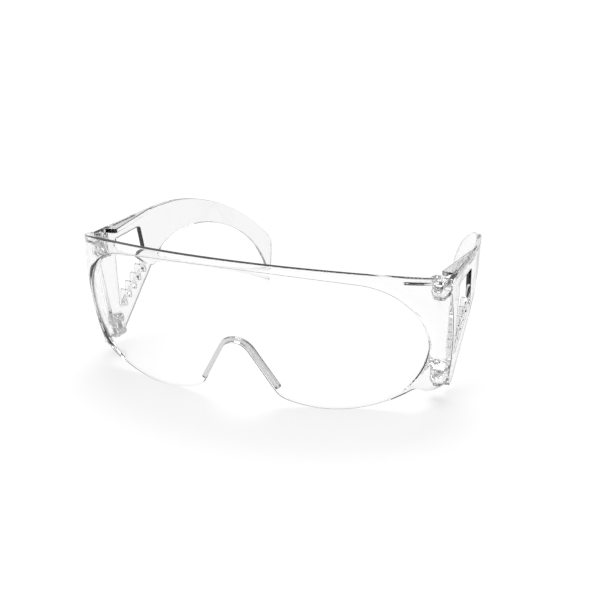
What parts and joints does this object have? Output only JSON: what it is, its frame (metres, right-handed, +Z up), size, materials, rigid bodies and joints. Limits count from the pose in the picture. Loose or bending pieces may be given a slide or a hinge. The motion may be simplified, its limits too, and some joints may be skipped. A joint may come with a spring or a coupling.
{
  "type": "safety glasses",
  "caption": "Clear wraparound safety glasses that fit over spectacles, with a one-piece lens, vented side panels and folding temples.",
  "frame": {"origin": "middle of the footprint, on the table that the open glasses stand on", "axes": "+X to the wearer's left, -Y the way the wearer looks, +Z up; the open glasses rest on the two lobes of the lens and on the tips of the ear hooks"},
  "size_m": [0.1508, 0.15, 0.061],
  "materials": {
    "clear_lens": "clear polished polycarbonate",
    "clear_temple": "clear moulded polycarbonate",
    "hinge_pin": "clear moulded plastic"
  },
  "bodies": {
    "front": {"lens_shield": "clear_lens", "left_upper_hinge_pin": "hinge_pin", "left_lower_hinge_pin": "hinge_pin", "right_upper_hinge_pin": "hinge_pin", "right_lower_hinge_pin": "hinge_pin"},
    "left_temple": {"left_temple": "clear_temple"},
    "right_temple": {"right_temple": "clear_temple"}
  },
  "joints": [
    {"name": "left_temple_fold", "type": "hinge", "parent": "front", "child": "left_temple", "pos_m": [0.0698, -0.03875, 0.061], "axis": [0.0579, -0.2161, 0.9747], "range_deg": [0, 90]},
    {"name": "right_temple_fold", "type": "hinge", "parent": "front", "child": "right_temple", "pos_m": [-0.0698, -0.03875, 0.061], "axis": [0.0579, 0.2161, -0.9747], "range_deg": [0, 78]}
  ]
}
